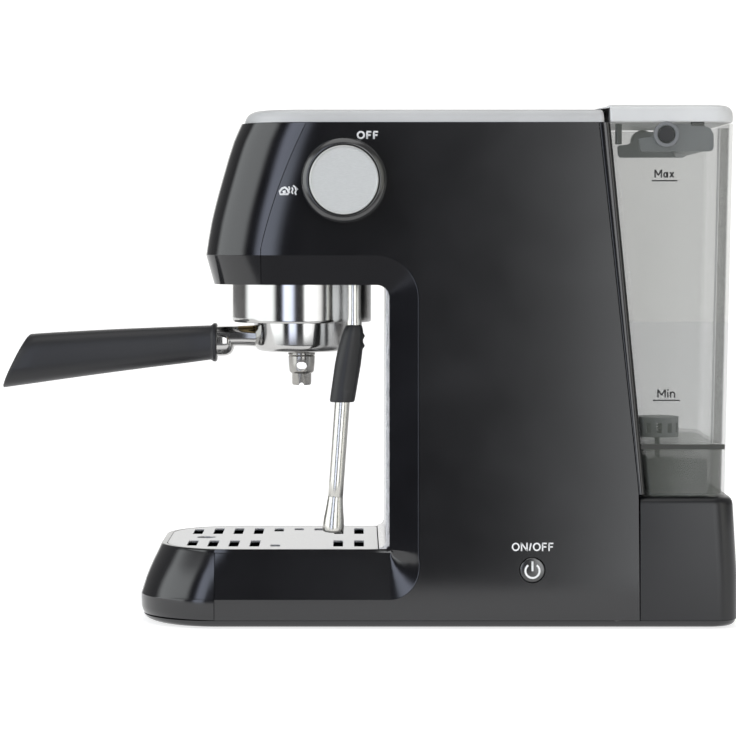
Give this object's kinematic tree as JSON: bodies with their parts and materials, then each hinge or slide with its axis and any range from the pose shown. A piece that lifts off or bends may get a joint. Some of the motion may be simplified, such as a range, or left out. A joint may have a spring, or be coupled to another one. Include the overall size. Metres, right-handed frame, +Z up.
{
  "type": "espresso machine",
  "caption": "Slim pump espresso machine with portafilter, steam wand, drip tray and removable rear water tank.",
  "frame": {"origin": "on the worktop, at the centre of the casing's base footprint (the portafilter handle isn't counted)", "axes": "+Z up, -Y to the machine's front, +X to the user's right, the side with the steam knob and wand"},
  "size_m": [0.1662, 0.4382, 0.3052],
  "materials": {
    "black_plastic": "fine satin moulded black",
    "silver_plastic": "satin silver paint",
    "tank_plastic": "smoky clear moulded plastic",
    "handle_plastic": "satin moulded black",
    "grey_plastic": "moulded grey",
    "white_plastic": "moulded off-white",
    "brushed_sheet": "brushed sheet",
    "plain_steel": "drawn and turned",
    "bright_chrome": "polished plating",
    "cast_aluminium": "as cast",
    "turned_brass": "turned",
    "rubber_black": "soft matte",
    "silicone": "translucent silicone",
    "circuit": "laminate"
  },
  "bodies": {
    "housing": {"base_plate": "black_plastic", "rubber_feet": "rubber_black", "side_panel_right": "black_plastic", "side_panel_left": "black_plastic", "front_cover": "black_plastic", "head_underside": "black_plastic", "top_plate": "silver_plastic", "backsplash": "brushed_sheet", "rear_spine": "black_plastic", "tank_dock": "black_plastic", "inner_frame": "grey_plastic", "base_screws": "plain_steel", "group_ring": "bright_chrome", "group_head": "turned_brass", "group_gasket": "rubber_black", "shower_screen": "plain_steel", "shower_screw": "plain_steel", "thermoblock_body": "cast_aluminium", "thermoblock_cover": "cast_aluminium", "thermoblock_screws": "plain_steel", "thermostats": "white_plastic", "pump_body": "white_plastic", "pump_coil": "plain_steel", "pump_mounts": "rubber_black", "suction_hose": "silicone", "pressure_hose": "silicone", "relief_valve": "turned_brass", "steam_valve_body": "turned_brass", "steam_tube": "turned_brass", "wand_socket": "plain_steel", "knob_bezel": "handle_plastic", "control_board": "circuit", "power_switch": "grey_plastic", "cord_gland": "rubber_black", "dock_seal": "rubber_black", "pump_spring": "plain_steel"},
    "steam_knob": {"knob_grip": "handle_plastic", "knob_face": "silver_plastic", "valve_spindle": "turned_brass"},
    "steam_wand": {"steam_pipe": "bright_chrome", "wand_grip": "rubber_black", "froth_sleeve": "plain_steel"},
    "portafilter": {"portafilter_holder": "bright_chrome", "filter_basket": "plain_steel", "portafilter_spout": "bright_chrome", "portafilter_handle": "handle_plastic"},
    "power_key": {"power_button": "handle_plastic"},
    "brew_one_key": {"brew_one_button": "silver_plastic"},
    "brew_two_key": {"brew_two_button": "silver_plastic"},
    "steam_key": {"steam_button": "silver_plastic"},
    "tray": {"drip_tray": "black_plastic"},
    "grate": {"drip_grate": "brushed_sheet"},
    "float": {"tray_float": "black_plastic"},
    "tank": {"water_tank": "tank_plastic", "tank_filter": "grey_plastic", "valve_spring": "plain_steel"},
    "tank_poppet": {"tank_valve": "rubber_black"},
    "lid": {"tank_lid": "silver_plastic"},
    "bail": {"tank_handle": "grey_plastic"},
    "piston": {"pump_piston": "plain_steel"}
  },
  "joints": [
    {"name": "portafilter_turn", "type": "hinge", "parent": "housing", "child": "portafilter", "pos_m": [0, -0.08, 0.17], "axis": [0, 0, 1], "range_deg": [-55, 0]},
    {"name": "steam_wand_swivel", "type": "hinge", "parent": "housing", "child": "steam_wand", "pos_m": [0.052, -0.0488, 0.2], "axis": [0, 0, 1], "range_deg": [-40, 90]},
    {"name": "steam_knob_turn", "type": "hinge", "parent": "housing", "child": "steam_knob", "pos_m": [0.08, -0.054, 0.261], "axis": [1, 0, 0], "range_deg": [0, 124]},
    {"name": "power_key_press", "type": "slide", "parent": "housing", "child": "power_key", "axis": [-1, 0, 0], "range_m": [0, 0.0015], "stiffness_N_per_m": 300, "springref_m": -0.001},
    {"name": "brew_one_press", "type": "slide", "parent": "housing", "child": "brew_one_key", "axis": [0, 0.9636, -0.2672], "range_m": [0, 0.0012], "stiffness_N_per_m": 300, "springref_m": -0.001},
    {"name": "brew_two_press", "type": "slide", "parent": "housing", "child": "brew_two_key", "axis": [0, 0.9636, -0.2672], "range_m": [0, 0.0012], "stiffness_N_per_m": 300, "springref_m": -0.001},
    {"name": "steam_key_press", "type": "slide", "parent": "housing", "child": "steam_key", "axis": [0, 0.9636, -0.2672], "range_m": [0, 0.0012], "stiffness_N_per_m": 300, "springref_m": -0.001},
    {"name": "tray_slide", "type": "slide", "parent": "housing", "child": "tray", "axis": [0, -1, 0], "range_m": [0, 0.12]},
    {"name": "grate_lift", "type": "slide", "parent": "tray", "child": "grate", "axis": [0, 0, 1], "range_m": [0, 0.007]},
    {"name": "float_rise", "type": "slide", "parent": "tray", "child": "float", "axis": [0, 0, 1], "range_m": [0, 0.005]},
    {"name": "tank_lift", "type": "slide", "parent": "housing", "child": "tank", "axis": [0, 0, 1], "range_m": [0, 0.12]},
    {"name": "tank_valve_lift", "type": "slide", "parent": "tank", "child": "tank_poppet", "axis": [0, 0, 1], "range_m": [0, 0.0025], "stiffness_N_per_m": 100, "springref_m": -0.004, "deforming": ["valve_spring"]},
    {"name": "lid_hinge", "type": "hinge", "parent": "tank", "child": "lid", "pos_m": [0, 0.1722, 0.2972], "axis": [-1, 0, 0], "range_deg": [0, 95]},
    {"name": "bail_swing", "type": "hinge", "parent": "tank", "child": "bail", "pos_m": [0, 0.134, 0.2878], "axis": [1, 0, 0], "range_deg": [0, 35]},
    {"name": "piston_stroke", "type": "slide", "parent": "housing", "child": "piston", "axis": [0, 0, 1], "range_m": [0, 0.004], "stiffness_N_per_m": 800, "springref_m": -0.004, "deforming": ["pump_spring"]}
  ]
}
